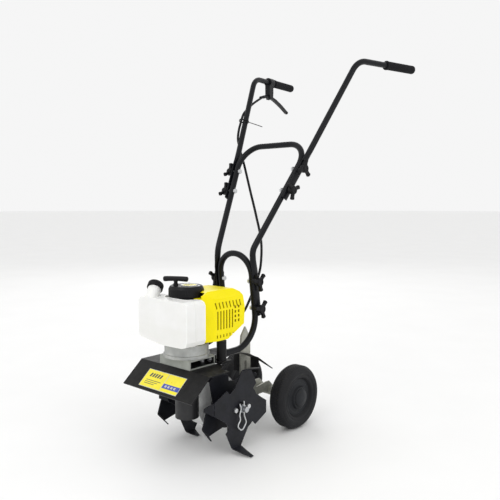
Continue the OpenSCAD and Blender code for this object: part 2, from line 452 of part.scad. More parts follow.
module starter_pulley() color([0.85, 0.85, 0.85]) translate([0, EY, 0]) rotate_extrude()
  polygon([[5.05, 406], [34, 406], [34, 408], [30, 409.5], [30, 412.5], [34, 414], [34, 416], [5.05, 416]]);
module recoil_spring() color([0.4, 0.4, 0.42]) translate([0, EY, 418.5]) linear_extrude(7)
  polygon(concat([for (i = [0:60]) let(a = i * 18, r = 8 + i * 0.22) [r * cos(a), r * sin(a)]], [for (i = [60:-1:0]) let(a = i * 18, r = 9.2 + i * 0.22) [r * cos(a), r * sin(a)]]));
module starter_rope() color([0.9, 0.9, 0.88]) translate([rope_x, rope_y, 427.5]) cylinder(r = 1.8, h = 16.5);
module starter_handle() color([0.09, 0.09, 0.1]) translate([rope_x, rope_y, 0]) rotate([0, 0, 30]) difference() {
  union() {
    translate([0, 0, 451]) rotate([0, 90, 0]) rotate_extrude() polygon([[0, -34.4], [4.6, -34.4], [6.6, -31], [6.6, 31], [4.6, 34.4], [0, 34.4]]);
    translate([0, 0, 439.4]) cylinder(r = 5, h = 10);
  }
  translate([0, 0, 438]) cylinder(r = 1.82, h = 8);
}

// ---- controls ------------------------------------------------------------
perch_p = mx(H3 - grip_dir * (grip_len + 25));
piv_z = -48;
module on_perch() translate(perch_p) rotate([grip_pitch, 0, -grip_yaw]) children();
module lever_perch() color([0.08, 0.08, 0.09]) on_perch() difference() {
  union() {
    ycyl(14.5, -13, 13);
    yz([[-16, -6], [9, -6], [9, -34], [6, -57], [-9, -57], [-16, -42]], -9, 9);
    translate([0, 0, piv_z - 2]) ycyl(5, -28, -9);
  }
  ycyl(tube_r + 0.05, -18, 18);
  difference() { box([-4.5, -6, -60], [4.5, 20, -34]); translate([0, 0, piv_z]) xcyl(2.5, -5, 5); }
}
module throttle_lever() color([0.08, 0.08, 0.09]) on_perch() difference() {
  union() {
    translate([0, 0, piv_z]) xcyl(5.6, -4, 4);
    yz([[0, piv_z + 5], [8, piv_z + 3], [40, piv_z - 5], [80, piv_z - 20], [114, piv_z - 36], [118, piv_z - 43], [110, piv_z - 45], [74, piv_z - 29], [36, piv_z - 15], [0, piv_z - 5]], -3.9, 3.9);
    translate([0, 116, piv_z - 41]) sphere(r = 6);
  }
  translate([0, 0, piv_z]) xcyl(2.55, -6, 6);
}
cab_p = [perch_p + [4.95, -28.7, -50.6], perch_p + [7.5, -46, -55], [-199, 192, 983], [-193, 160, 967], [-189, 131, 948], [-181, 99, 925], [-171.5, 76, 895], [-166.8, 61.5, 868], [-162.6, 53.5, 840], [-153.5, 52, 812],
  [-138, 45, 785], [-117, 34, 755], [-75, 13, 681], [-45, 6, 607], [-25, 6, 533], [-18, -2, 469], [-20, -13, 425], [-28, -39, 363], [-34, -66, 322], [-40, -115, 302], [-50, -165, 306], [-56, -190, 320], [-60, -211, 341]];
function cm(a, b, c, d, t) = 0.5 * (2 * b + (c - a) * t + (2 * a - 5 * b + 4 * c - d) * t * t + (3 * b - a - 3 * c + d) * t * t * t);
cab_n = len(cab_p);
cab_q = concat([for (i = [0:cab_n-2]) for (k = [0:2]) cm(cab_p[max(0, i-1)], cab_p[i], cab_p[i+1], cab_p[min(cab_n-1, i+2)], k / 3)], [cab_p[cab_n-1]]);
module throttle_cable() color([0.08, 0.08, 0.09]) sweep(cab_q, all(len(cab_q), 3.8), all(len(cab_q), 3.8), [1, 0, 0], 8);

// ---- wheels, bracket and stake -------------------------------------------
module wheel_bracket() color([0.55, 0.55, 0.5]) difference() {
  union() {
    pair() yz([[-156.4, 92], [-156.4, 132], [-110, 132], [-62, 114], [-24, 120], [-8, 120], [8, 104], [14, 96], [14, 82], [4, 76], [-8, 78], [-18, 91], [-110, 90]], 17, 20);
    at_x(0, ax_z) xcyl(13.5, -28, 28);
    box([-17.5, -118, 95], [17.5, -66, 113]);
    yz([[-118, 112], [-66, 112], [-66, 114], [-118, 131]], -17.5, 17.5);
  }
  at_x(0, ax_z) xcyl(axle_r + 0.1, -30, 30);
  box([-3.2, -112.3, 90], [3.2, -71.7, 140]);
  for (z = [104, 122]) at_x(-150, z) xcyl(4.2, -25, 25);
  at_x(-92, 105) xcyl(4.2, -25, 25);
}
module bracket_pins() color([0.75, 0.76, 0.78]) {
  for (z = [104, 122]) at_x(-150, z) { xcyl(4, -24, 24); translate([20.1, 0, 0]) rotate([0, 90, 0]) hexa(6.5, 5); translate([-25.1, 0, 0]) rotate([0, 90, 0]) hexa(6.5, 5); }
  at_x(-92, 105) { xcyl(4, -24, 24); translate([20.1, 0, 0]) rotate([0, 90, 0]) hexa(6.5, 5); translate([-25.1, 0, 0]) rotate([0, 90, 0]) hexa(6.5, 5); }
}
module wheel_axle() color([0.75, 0.76, 0.78]) at_x(0, ax_z) { xcyl(axle_r, -134, 134); pair() { xcyl(9.5, wheel_x + wheel_w / 2 + 0.4, wheel_x + wheel_w / 2 + 3.5); xcyl(9.5, wheel_x - wheel_w / 2 - 4, wheel_x - wheel_w / 2 - 0.6); } }
module wheel() at_x(0, ax_z) translate([wheel_x, 0, 0]) rotate([0, 90, 0]) rotate_extrude() polygon([[axle_r + 0.05, -25], [18, -25], [20, -14], [52, -12], [56, -21], [74, -25], [84, -21], [wheel_r - 0.6, -13], [wheel_r, -8], [wheel_r, 8], [wheel_r - 0.6, 13], [84, 21], [74, 25], [56, 20], [50, 12], [30, 15], [26, 23], [14, 25], [axle_r + 0.05, 25]]);
module wheel_left() color([0.16, 0.17, 0.18]) wheel();
module wheel_right() color([0.16, 0.17, 0.18]) mirror([1, 0, 0]) wheel();
module drag_stake() color([0.55, 0.55, 0.5]) difference() {
  yz([[-92, 14], [-80, 34], [-72, 52], [-72, 240], [-75, 262], [-92, 292], [-109, 268], [-112, 240], [-112, 52], [-104, 34]], -3, 3);
  box([-5, -96.2, 96], [5, -87.8, 190]);
  at_x(-92, 96) xcyl(4.2, -5, 5); at_x(-92, 190) xcyl(4.2, -5, 5);
  at_x(-92, 60) xcyl(4.2, -5, 5);
}

lower_hoop();
frame_base();
middle_frame();
handle_left();
handle_right();
hand_grips();
clamp_bolts();
knob_low_left_a();
knob_low_left_b();
knob_low_right_a();
knob_low_right_b();
knob_top_left_a();
knob_top_left_b();
knob_top_right_a();
knob_top_right_b();
rear_guard();
engine_bracket();
base_bolts();
fender();
gearbox_housing();
worm_wheel();
worm_shaft();
clutch_drum();
bearings_and_seals();
tine_shaft();
tine_hubs();
outer_tines();
inner_tines();
tine_bolts();
hitch_clips();
clutch_housing();
crankcase();
cylinder_();  // cylinder
piston();
connecting_rod();
crankshaft();
clutch_shoes();
flywheel();
spark_plug();
muffler();
carburetor();
air_filter();
choke_lever();
cylinder_cover();
fuel_tank();
fuel_cap();
starter_housing();
starter_pulley();
starter_rope();
starter_handle();
lever_perch();
throttle_lever();
throttle_cable();
wheel_bracket();
bracket_pins();
wheel_axle();
wheel_left();
wheel_right();
drag_stake();
recoil_spring();
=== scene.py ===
import bpy, bmesh, json, math
from mathutils import Vector, Matrix

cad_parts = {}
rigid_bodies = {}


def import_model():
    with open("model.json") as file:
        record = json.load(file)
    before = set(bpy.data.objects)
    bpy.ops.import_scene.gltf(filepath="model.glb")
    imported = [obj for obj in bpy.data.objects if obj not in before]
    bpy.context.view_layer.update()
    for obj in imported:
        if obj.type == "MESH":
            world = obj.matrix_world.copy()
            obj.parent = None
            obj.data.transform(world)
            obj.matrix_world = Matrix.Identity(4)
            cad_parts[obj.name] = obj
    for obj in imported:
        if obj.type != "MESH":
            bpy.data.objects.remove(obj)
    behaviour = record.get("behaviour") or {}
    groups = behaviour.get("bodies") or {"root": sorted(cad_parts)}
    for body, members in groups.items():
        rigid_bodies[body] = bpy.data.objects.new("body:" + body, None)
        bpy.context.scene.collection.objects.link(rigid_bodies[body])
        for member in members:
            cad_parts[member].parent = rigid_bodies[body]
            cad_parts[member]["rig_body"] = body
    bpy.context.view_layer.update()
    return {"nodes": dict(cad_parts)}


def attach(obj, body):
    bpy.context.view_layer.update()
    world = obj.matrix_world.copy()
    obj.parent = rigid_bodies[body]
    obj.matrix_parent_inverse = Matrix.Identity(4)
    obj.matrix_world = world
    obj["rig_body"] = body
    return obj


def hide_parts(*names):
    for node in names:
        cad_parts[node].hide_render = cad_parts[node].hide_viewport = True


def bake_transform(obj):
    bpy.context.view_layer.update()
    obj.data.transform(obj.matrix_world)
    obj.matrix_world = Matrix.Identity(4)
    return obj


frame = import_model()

NODES = frame["nodes"]
MM = 0.001
EY, TY = -315.0, -228.0


def V(*p):
    return Vector(p)


def body_of(node):
    return NODES[node]["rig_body"]


# ---------------------------------------------------------------- camera ----
cam_data = bpy.data.cameras.new("camera")
cam_data.lens, cam_data.sensor_width = 44.34, 36.0
cam_data.clip_start, cam_data.clip_end = 0.05, 200
cam = bpy.data.objects.new("camera", cam_data)
bpy.context.scene.collection.objects.link(cam)
bpy.context.scene.camera = cam
az, pitch = math.radians(42.05), math.radians(4.54)
look = Vector((-math.sin(az) * math.cos(pitch), math.cos(az) * math.cos(pitch), -math.sin(pitch)))
cam.location = (1.17165, -1.36944, 0.64808)
cam.rotation_euler = look.to_track_quat("-Z", "Y").to_euler()


# ------------------------------------------------------------- materials ----
class Tree:
    def __init__(self, name):
        self.m = bpy.data.materials.new(name)
        self.m.use_nodes = True
        self.t = self.m.node_tree
        self.b = self.t.nodes["Principled BSDF"]
        self.co = self.add("ShaderNodeTexCoord").outputs["Object"]

    def add(self, kind, **kw):
        n = self.t.nodes.new(kind)
        for k, v in kw.items():
            setattr(n, k, v)
        return n

    def put(self, sock, v):
        if hasattr(v, "is_linked") or hasattr(v, "links"):
            self.t.links.new(v, sock)
        else:
            sock.default_value = v

    def noise(self, scale, detail=4.0, rough=0.55, co=None, dist=0.0):
        n = self.add("ShaderNodeTexNoise")
        self.put(n.inputs["Vector"], co or self.co)
        n.inputs["Scale"].default_value = scale
        n.inputs["Detail"].default_value = detail
        n.inputs["Roughness"].default_value = rough
        n.inputs["Distortion"].default_value = dist
        return n.outputs["Fac"]

    def voronoi(self, scale, feature="F1", out="Distance", co=None):
        n = self.add("ShaderNodeTexVoronoi", feature=feature)
        self.put(n.inputs["Vector"], co or self.co)
        n.inputs["Scale"].default_value = scale
        return n.outputs[out]

    def stretch(self, sx, sy, sz):
        n = self.add("ShaderNodeMapping")
        self.put(n.inputs["Vector"], self.co)
        n.inputs["Scale"].default_value = (sx, sy, sz)
        return n.outputs["Vector"]

    def axis(self, k):
        n = self.add("ShaderNodeSeparateXYZ")
        self.put(n.inputs[0], self.co)
        return n.outputs[k]

    def ramp(self, v, a, b, lo=0.0, hi=1.0, smooth=False):
        n = self.add("ShaderNodeMapRange")
        if smooth:
            n.interpolation_type = "SMOOTHSTEP"
        self.put(n.inputs["Value"], v)
        n.inputs["From Min"].default_value = a
        n.inputs["From Max"].default_value = b
        n.inputs["To Min"].default_value = lo
        n.inputs["To Max"].default_value = hi
        return n.outputs["Result"]

    def math(self, op, a, b=0.0):
        n = self.add("ShaderNodeMath", operation=op)
        self.put(n.inputs[0], a)
        self.put(n.inputs[1], b)
        return n.outputs[0]

    def mix(self, f, a, b):
        n = self.add("ShaderNodeMix", data_type="RGBA")
        self.put(n.inputs["Factor"], f)
        self.put(n.inputs["A"] if False else n.inputs[6], a)
        self.put(n.inputs[7], b)
        return n.outputs[2]

    def bump(self, h, mm, under=None):
        n = self.add("ShaderNodeBump")
        n.inputs["Distance"].default_value = mm * MM
        n.inputs["Strength"].default_value = 1.0
        self.put(n.inputs["Height"], h)
        if under is not None:
            self.put(n.inputs["Normal"], under)
        return n.outputs["Normal"]

    def edges(self, radius=1.2):
        """1 on sharp edges, 0 on flats, broken up by noise"""
        bev = self.add("ShaderNodeBevel", samples=4)
        bev.inputs["Radius"].default_value = radius * MM
        geo = self.add("ShaderNodeNewGeometry")
        dot = self.add("ShaderNodeVectorMath", operation="DOT_PRODUCT")
        self.put(dot.inputs[0], bev.outputs[0])
        self.put(dot.inputs[1], geo.outputs["Normal"])
        e = self.ramp(dot.outputs["Value"], 0.995, 0.86)
        n = self.ramp(self.noise(160, 5, 0.7), 0.42, 0.62)
        return self.math("MULTIPLY", e, n)


def rgb(c, k=1.0):
    return (min(1, c[0] * k), min(1, c[1] * k), min(1, c[2] * k), 1.0)


def surface(name, base, rough, metal=0.0, vary=0.2, patch=22, grain=900, grain_mm=0.03, rough_vary=0.08,
            coat=0.0, wear=None, wear_r=1.0, dust=0.0, brushed=False, spangle=0.0, sss=0.0, cells=0.0, cells_mm=0.0, spec=0.5):
    t = Tree(name)
    big = t.ramp(t.noise(patch, 5, 0.6), 0.3, 0.7)
    col = t.mix(big, rgb(base, 1 - vary), rgb(base, 1 + vary))
    fine = t.noise(grain, 3, 0.6)
    if spangle:
        v = t.voronoi(190, out="Color")
        g = t.add("ShaderNodeRGBToBW"); t.put(g.inputs[0], v)
        col = t.mix(t.ramp(g.outputs[0], 0.1, 0.9, 0.0, spangle), col, rgb(base, 1.7))
    if dust:
        up = t.add("ShaderNodeNewGeometry")
        s = t.add("ShaderNodeSeparateXYZ"); t.put(s.inputs[0], up.outputs["Normal"])
        d = t.math("MULTIPLY", t.ramp(s.outputs[2], 0.1, 1.0), t.ramp(t.noise(55, 6, 0.7), 0.35, 0.75))
        col = t.mix(t.math("MULTIPLY", d, dust), col, (0.42, 0.40, 0.36, 1))
    r = t.ramp(t.noise(patch * 3.1, 5, 0.6), 0.3, 0.7, max(0.03, rough - rough_vary), min(1, rough + rough_vary))
    m = metal
    if wear is not None:
        e = t.edges(wear_r)
        col = t.mix(e, col, rgb(wear))
        m = t.ramp(e, 0, 1, metal, 0.9)
    t.put(t.b.inputs["Base Color"], col)
    t.put(t.b.inputs["Metallic"], m)
    t.put(t.b.inputs["Roughness"], r)
    t.b.inputs["Specular IOR Level"].default_value = spec
    t.b.inputs["Coat Weight"].default_value = coat
    t.b.inputs["Coat Roughness"].default_value = 0.12
    if sss:
        t.b.inputs["Subsurface Weight"].default_value = sss
        t.b.inputs["Subsurface Radius"].default_value = (0.012, 0.012, 0.010)
        t.b.inputs["Subsurface Scale"].default_value = 0.6
    if brushed:
        h = t.noise(60, 3, 0.5, co=t.stretch(1, 1, 26))
        nrm = t.bump(h, grain_mm)
    else:
        nrm = t.bump(fine, grain_mm)
    if cells:
        nrm = t.bump(t.voronoi(cells), cells_mm, under=nrm)
    t.put(t.b.inputs["Normal"], nrm)
    return t.m


TUBE = surface("tube_powder_coat", (0.0048, 0.0053, 0.0072), 0.33, vary=0.25, grain=1300, grain_mm=0.035, rough_vary=0.07, spec=0.19)
PLATE = surface("black_plate_paint", (0.0055, 0.0055, 0.0062), 0.40, vary=0.3, grain=1000, grain_mm=0.03, spec=0.19, wear=(0.20, 0.20, 0.20), wear_r=0.7, dust=0.05)
FENDER = surface("fender_paint", (0.0055, 0.0055, 0.0062), 0.44, vary=0.3, grain=1100, grain_mm=0.03, spec=0.18, wear=(0.12, 0.12, 0.12), wear_r=0.6, dust=0.03)
RUBBER = surface("grip_rubber", (0.009, 0.009, 0.0105), 0.74, spec=0.18, vary=0.2, grain=1500, grain_mm=0.09, cells=900, cells_mm=0.10, rough_vary=0.06)
PLASTIC = surface("black_moulded_plastic", (0.0062, 0.0062, 0.0075), 0.40, spec=0.2, vary=0.25, grain=1700, grain_mm=0.06, rough_vary=0.08)
KNOBMAT = surface("knob_plastic", (0.005, 0.005, 0.0062), 0.46, spec=0.18, vary=0.25, grain=1500, grain_mm=0.07, rough_vary=0.08)
ZINC = surface("zinc_bolts", (0.60, 0.61, 0.62), 0.40, metal=0.8, vary=0.15, patch=160, grain=1400, grain_mm=0.02, rough_vary=0.10)
STEEL = surface("machined_steel", (0.50, 0.51, 0.53), 0.32, metal=1.0, vary=0.1, brushed=True, grain_mm=0.015)
CAST = surface("die_cast_aluminium", (0.40, 0.41, 0.40), 0.50, metal=0.45, vary=0.18, patch=45, grain=500, grain_mm=0.10, cells=420, cells_mm=0.06, wear=(0.62, 0.62, 0.62), wear_r=0.8)
BRONZE = surface("bronze", (0.55, 0.36, 0.14), 0.34, metal=1.0, vary=0.15, brushed=True, grain_mm=0.02)
HUB = surface("hub_paint", (0.006, 0.006, 0.0075), 0.40, spec=0.2, vary=0.25, grain=900, grain_mm=0.04, wear=(0.3, 0.3, 0.3), wear_r=0.5)
TINE = surface("tine_steel", (0.0085, 0.0092, 0.0130), 0.42, metal=0.03, spec=0.22, vary=0.35, patch=34, grain=700, grain_mm=0.04, rough_vary=0.12, wear=(0.20, 0.20, 0.22), wear_r=0.7)
YELLOW = surface("yellow_cover", (0.93, 0.79, 0.0), 0.36, vary=0.03, patch=14, grain=900, grain_mm=0.02, coat=0.06, rough_vary=0.05, spec=0.16)
# dark brown painted shade for the sheet behind the cover's slots
COVER_SHADE_SHEET = surface("cover_painted_shade", (0.16, 0.085, 0.008), 0.7, vary=0.3, patch=60)
PORCELAIN = surface("plug_ceramic", (0.82, 0.82, 0.79), 0.18, vary=0.05, coat=0.6)
MUFFLER = surface("muffler_steel", (0.30, 0.24, 0.19), 0.42, metal=0.9, vary=0.35, patch=40, grain=600, grain_mm=0.05)
GALV = surface("olive_zinc", (0.36, 0.36, 0.315), 0.42, metal=0.55, vary=0.18, patch=30, grain=600, grain_mm=0.03, spangle=0.28, wear=(0.5, 0.5, 0.46), wear_r=0.6)
WHEEL = surface("wheel_charcoal", (0.0135, 0.0138, 0.0155), 0.56, spec=0.18, vary=0.22, patch=18, grain=1200, grain_mm=0.07, rough_vary=0.08, dust=0.04)
WHEELDISC = surface("wheel_disc", (0.0125, 0.0138, 0.0165), 0.46, spec=0.2, vary=0.2, patch=20, grain=1400, grain_mm=0.05, rough_vary=0.08, dust=0.02)
ROPE = surface("rope_nylon", (0.78, 0.77, 0.72), 0.8, vary=0.1, grain=2400, grain_mm=0.25, patch=500)
NYLON = surface("nylon", (0.76, 0.76, 0.73), 0.45, vary=0.06)
CABLE = surface("cable_sheath", (0.005, 0.005, 0.0062), 0.42, spec=0.18, vary=0.2, grain=1200, grain_mm=0.03)
LBL_YELLOW = surface("label_yellow", (0.92, 0.80, 0.02), 0.34, vary=0.05, patch=60, grain=1500, grain_mm=0.01, coat=0.3)
LBL_BLUE = surface("label_blue", (0.03, 0.06, 0.42), 0.34, vary=0.08, patch=60, grain=1500, grain_mm=0.01, coat=0.3)
LBL_DARK = surface("label_dark", (0.02, 0.03, 0.06), 0.36, vary=0.08, patch=60, grain=1500, grain_mm=0.01, coat=0.3)
LBL_SILVER = surface("label_silver", (0.62, 0.63, 0.62), 0.30, metal=0.8, vary=0.08, brushed=True, grain_mm=0.01)
SILVER = surface("bright_ring", (0.66, 0.67, 0.68), 0.24, metal=1.0, vary=0.08, patch=90)


def tank_material():
    """translucent polyethylene: slightly darker below a wavy level line, cloudy, with a faint moulding texture"""
    t = Tree("tank_polyethylene")
    z = t.axis(2)
    # darker towards the bottom, below a height of about 0.34 m
    lower_tint = t.ramp(t.math("ADD", z, t.math("MULTIPLY", t.noise(12, 3), 0.01)), 0.335, 0.350, 1.0, 0.0, smooth=True)
    cloud = t.ramp(t.noise(24, 5, 0.6), 0.3, 0.7)
    col = t.mix(cloud, (0.90, 0.90, 0.86, 1), (0.95, 0.95, 0.92, 1))
    col = t.mix(t.math("MULTIPLY", lower_tint, 0.35), col, (0.86, 0.86, 0.80, 1))
    t.put(t.b.inputs["Base Color"], col)
    t.put(t.b.inputs["Roughness"], t.ramp(t.noise(60, 4), 0.3, 0.7, 0.34, 0.46))
    t.b.inputs["Subsurface Weight"].default_value = 0.35
    t.b.inputs["Subsurface Radius"].default_value = (0.02, 0.02, 0.018)
    t.b.inputs["Subsurface Scale"].default_value = 0.5
    t.put(t.b.inputs["Normal"], t.bump(t.noise(700, 3), 0.05))
    return t.m


def gearbox_material():
    """light cast metal on the wheel case, made paler as painted light against the fender's shade; near-black painted
    shade on the worm tube in front of it
    """
    t = Tree("gearbox_cast_and_painted_shade")
    y = t.axis(1)
    # split by Y: the worm tube side takes painted shade, the wheel case side the paler cast colour
    edge = t.ramp(t.math("ADD", y, t.math("MULTIPLY", t.noise(120, 3), 0.0016)), -0.2975, -0.2960, 0.0, 1.0)
    cast = t.mix(t.ramp(t.noise(40, 5, 0.6), 0.3, 0.7), (0.66, 0.67, 0.665, 1), (0.84, 0.85, 0.84, 1))
    # near-black painted shade for the worm tube under the fender
    dark = t.mix(t.ramp(t.noise(30, 5, 0.6), 0.3, 0.7), (0.009, 0.009, 0.010, 1), (0.016, 0.016, 0.018, 1))
    t.put(t.b.inputs["Base Color"], t.mix(edge, dark, cast))
    t.put(t.b.inputs["Metallic"], t.ramp(edge, 0, 1, 0.0, 0.12))
    t.put(t.b.inputs["Roughness"], t.ramp(t.noise(80, 4), 0.3, 0.7, 0.40, 0.56))
    n = t.bump(t.noise(500, 3), 0.12)
    t.put(t.b.inputs["Normal"], t.bump(t.voronoi(380), 0.08, under=n))
    return t.m


def bracket_material():
    """pale grey-green paint outside; near-black painted shade within the open box"""
    t = Tree("bracket_paint")
    y, z = t.axis(1), t.axis(2)
    # mask of the box's interior faces, which get near-black painted shade
    iy = t.math("LESS_THAN", t.math("ABSOLUTE", t.math("ADD", y, 0.313)), 0.04015)
    iz = t.math("LESS_THAN", t.math("ABSOLUTE", t.math("SUBTRACT", z, 0.240)), 0.00815)
    inside = t.math("MULTIPLY", iy, iz)
    e = t.math("MULTIPLY", t.edges(0.8), 0.5)
    paint = t.mix(t.ramp(t.noise(30, 5, 0.6), 0.3, 0.7), (0.245, 0.26, 0.235, 1), (0.335, 0.35, 0.32, 1))
    streak = t.ramp(t.noise(9, 6, 0.7, co=t.stretch(1, 1, 6)), 0.50, 0.72, 0.0, 0.35)
    paint = t.mix(streak, paint, (0.16, 0.165, 0.15, 1))
    paint = t.mix(e, paint, (0.14, 0.14, 0.13, 1))
    # the interior takes near-black painted shade in place of the paint
    t.put(t.b.inputs["Base Color"], t.mix(inside, paint, (0.006, 0.006, 0.006, 1)))
    t.put(t.b.inputs["Roughness"], t.ramp(t.noise(90, 5), 0.3, 0.7, 0.38, 0.54))
    t.b.inputs["Metallic"].default_value = 0.1
    t.put(t.b.inputs["Normal"], t.bump(t.noise(800, 3), 0.04))
    return t.m


BRACKET = bracket_material()
TANK = tank_material()
GEARBOX = gearbox_material()

CAD_MATERIALS = {
    "worm_wheel": BRONZE, "worm_shaft": STEEL, "clutch_drum": STEEL, "bearings_and_seals": STEEL, "tine_shaft": STEEL,
    "crankshaft": STEEL, "connecting_rod": STEEL, "clutch_shoes": MUFFLER, "recoil_spring": STEEL, "piston": CAST,
    "flywheel": CAST, "cylinder": CAST, "crankcase": CAST, "spark_plug": PORCELAIN, "starter_pulley": NYLON,
}
for node, m in CAD_MATERIALS.items():
    o = NODES[node]
    if not o.material_slots:
        o.data.materials.append(m)
    for s in o.material_slots:
        s.link = "OBJECT"
        s.material = m


# --------------------------------------------------------------- geometry ----
def finish_mesh(name, bm, m, body, replaces=(), smooth=35, matrix=None):
    bmesh.ops.recalc_face_normals(bm, faces=bm.faces)
    me = bpy.data.meshes.new(name)
    bm.to_mesh(me)
    bm.free()
    if matrix is not None:
        me.transform(matrix)
        if matrix.determinant() < 0:
            me.flip_normals()
    me.materials.append(m)
    me.shade_smooth()
    me.set_sharp_from_angle(angle=math.radians(smooth))
    o = bpy.data.objects.new(name, me)
    bpy.context.scene.collection.objects.link(o)
    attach(o, body)
    if replaces:
        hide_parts(*replaces)
    return o


def add_bevel(o, width, segs=2, angle=30):
    b = o.modifiers.new("bevel", "BEVEL")
    b.width, b.segments, b.limit_method = width * MM, segs, "ANGLE"
    b.angle_limit = math.radians(angle)
    b.use_clamp_overlap = True
    b.harden_normals = True
    return o


def skin(node, m, width=0.6, segs=2, angle=32, name=None):
    """a cleaned copy of a CAD node with rounded edges, standing for it"""
    bm = bmesh.new()
    bm.from_mesh(NODES[node].data)
    bmesh.ops.remove_doubles(bm, verts=bm.verts, dist=2e-6)
    bmesh.ops.dissolve_limit(bm, angle_limit=math.radians(0.8), verts=bm.verts, edges=bm.edges)
    for lay in list(bm.loops.layers.float_vector.values()):
        bm.loops.layers.float_vector.remove(lay)
    o = finish_mesh(name or node + "_body", bm, m, body_of(node), (node,), smooth=30)
    if width:
        add_bevel(o, width, segs, angle)
    return o


def lathe_bm(prof, seg=96, bm=None, radius=None):
    """prof: (r, h) in mm about local Z. radius(r, h, angle) may change r."""
    bm = bm or bmesh.new()
    rings = []
    for r, h in prof:
        if r < 1e-6:
            rings.append([bm.verts.new((0, 0, h * MM))])
        else:
            row = []
            for i in range(seg):
                a = 2 * math.pi * i / seg
                rr = radius(r, h, i) if radius else r
                row.append(bm.verts.new((rr * MM * math.cos(a), rr * MM * math.sin(a), h * MM)))
            rings.append(row)
    for a, b in zip(rings, rings[1:]):
        for i in range(seg):
            j = (i + 1) % seg
            if len(a) == 1 and len(b) == 1:
                continue
            if len(a) == 1:
                bm.faces.new((a[0], b[i], b[j]))
            elif len(b) == 1:
                bm.faces.new((a[i], a[j], b[0]))
            else:
                bm.faces.new((a[i], a[j], b[j], b[i]))
    return bm


def axis_matrix(origin_mm, direction, roll=0.0):
    d = Vector(direction).normalized()
    q = d.to_track_quat("Z", "Y")
    return Matrix.Translation(Vector(origin_mm) * MM) @ q.to_matrix().to_4x4() @ Matrix.Rotation(roll, 4, "Z")


def tube_bm(pts, a, b=None, sides=32, n0=(1, 0, 0), bm=None, caps=True):
    """sweep an oval along pts (mm). a: half size along the carried direction, b: across it; numbers or lists"""
    bm = bm or bmesh.new()
    P = [Vector(p) for p in pts]
    n = len(P)
    A = a if isinstance(a, (list, tuple)) else [a] * n
    B = A if b is None else (b if isinstance(b, (list, tuple)) else [b] * n)
    T = []
    for i in range(n):
        if i == 0:
            t = P[1] - P[0]
        elif i == n - 1:
            t = P[-1] - P[-2]
        else:
            t = (P[i + 1] - P[i]).normalized() + (P[i] - P[i - 1]).normalized()
        T.append(t.normalized())
    N = Vector(n0)
    rings = []
    for i in range(n):
        N = (N - N.dot(T[i]) * T[i]).normalized()
        C = T[i].cross(N)
        rings.append([bm.verts.new((P[i] + N * A[i] * math.cos(2 * math.pi * j / sides) + C * B[i] * math.sin(2 * math.pi * j / sides)) * MM) for j in range(sides)])
    for u, v in zip(rings, rings[1:]):
        for j in range(sides):
            k = (j + 1) % sides
            bm.faces.new((u[j], v[j], v[k], u[k]))
    if caps:
        bm.faces.new(rings[0])
        bm.faces.new(list(reversed(rings[-1])))
    return bm


def bend(P, R, i, n):
    u, v = (P[i] - P[i - 1]).normalized(), (P[i + 1] - P[i]).normalized()
    th = math.acos(max(-1, min(1, u.dot(v))))
    t = R * math.tan(th / 2)
    c = P[i] + (v - u).normalized() * R / math.cos(th / 2)
    x = (P[i] - u * t - c) / R
    return [c + R * (x * math.cos(th * k / n) + u * math.sin(th * k / n)) for k in range(n + 1)]


def refine(P, step=9.0):
    out = [P[0]]
    for a, b in zip(P, P[1:]):
        m = max(1, int((b - a).length / step))
        out += [a.lerp(b, k / m) for k in range(1, m + 1)]
    return out


def smoothstep(x):
    x = max(0.0, min(1.0, x))
    return x * x * (3 - 2 * x)


def prism_bm(poly, h0, h1, bm=None):
    bm = bm or bmesh.new()
    lo = [bm.verts.new((x * MM, y * MM, h0 * MM)) for x, y in poly]
    hi = [bm.verts.new((x * MM, y * MM, h1 * MM)) for x, y in poly]
    bm.faces.new(list(reversed(lo)))
    bm.faces.new(hi)
    n = len(poly)
    for i in range(n):
        j = (i + 1) % n
        bm.faces.new((lo[i], lo[j], hi[j], hi[i]))
    return bm


# ------------------------------------------------------- frame tubes --------
def hy(z):
    return -115 - 0.1255 * (z - 340)


TR, HX = 8.5, 59.4
FLAT = HX + TR + 2.85
U0, U1, U2 = V(FLAT, hy(335), 335), V(65.5, -133.5, 515), V(130, 40, 811)


def u_at(z):
    return U1 + (U2 - U1) * (z - 515) / (811 - 515)


def mx(p):
    return Vector((-p[0], p[1], p[2]))


hc = [V(HX, -250, 251), V(HX, -105, 252.5), V(HX, -136.5, 504), V(-HX, -136.5, 504), V(-HX, -105, 252.5), V(-HX, -250, 251)]
hoop = refine([hc[0]] + bend(hc, 80, 1, 20) + bend(hc, HX - 1, 2, 20) + bend(hc, HX - 1, 3, 20) + bend(hc, 80, 4, 20) + [hc[5]], 12)
finish_mesh("lower_hoop_tube", tube_bm(hoop, TR, sides=36), TUBE, "frame", ("lower_hoop",))

mc = [U0, V(67.5, -133.5, 490), U1, U2, V(0, 40, 811)]
half = refine([U0, V(FLAT, hy(464), 464), mc[1]] + bend(mc, 50, 2, 12) + bend(mc, 62, 3, 16) + [mc[4]], 6)


def flatten(z, z0, z1):
    s = smoothstep((z - z0) / (z1 - z0))
    return 2.75 + (TR - 2.75) * s, 11.8 + (TR - 11.8) * s


mid = half + [mx(p) for p in reversed(half[:-1])]
fa = [flatten(p[2], 458, 492) for p in mid]
finish_mesh("middle_frame_tube", tube_bm(mid, [f[0] for f in fa], [f[1] for f in fa], sides=36), TUBE, "frame", ("middle_frame",))

OFF = TR + 3.8
H0, H1, H2, H3 = u_at(655) + V(OFF, 0, 0), u_at(800) + V(OFF, 0, 0), V(197, 172, 1049), V(239, 415.01, 1053.5)
hq = [H0, H1, H2, H3]
han = refine([H0] + bend(hq, 200, 1, 6) + bend(hq, 58, 2, 20) + [H3], 6)
GD = (H3 - H2).normalized()
for side, node in ((1, "handle_left"), (-1, "handle_right")):
    pts = [Vector((side * p[0], p[1], p[2])) for p in han]
    fa = [flatten(p[2], 758, 792) for p in pts]
    finish_mesh(node + "_tube", tube_bm(pts, [f[0] for f in fa], [f[1] for f in fa], sides=36), TUBE, "frame", (node,))

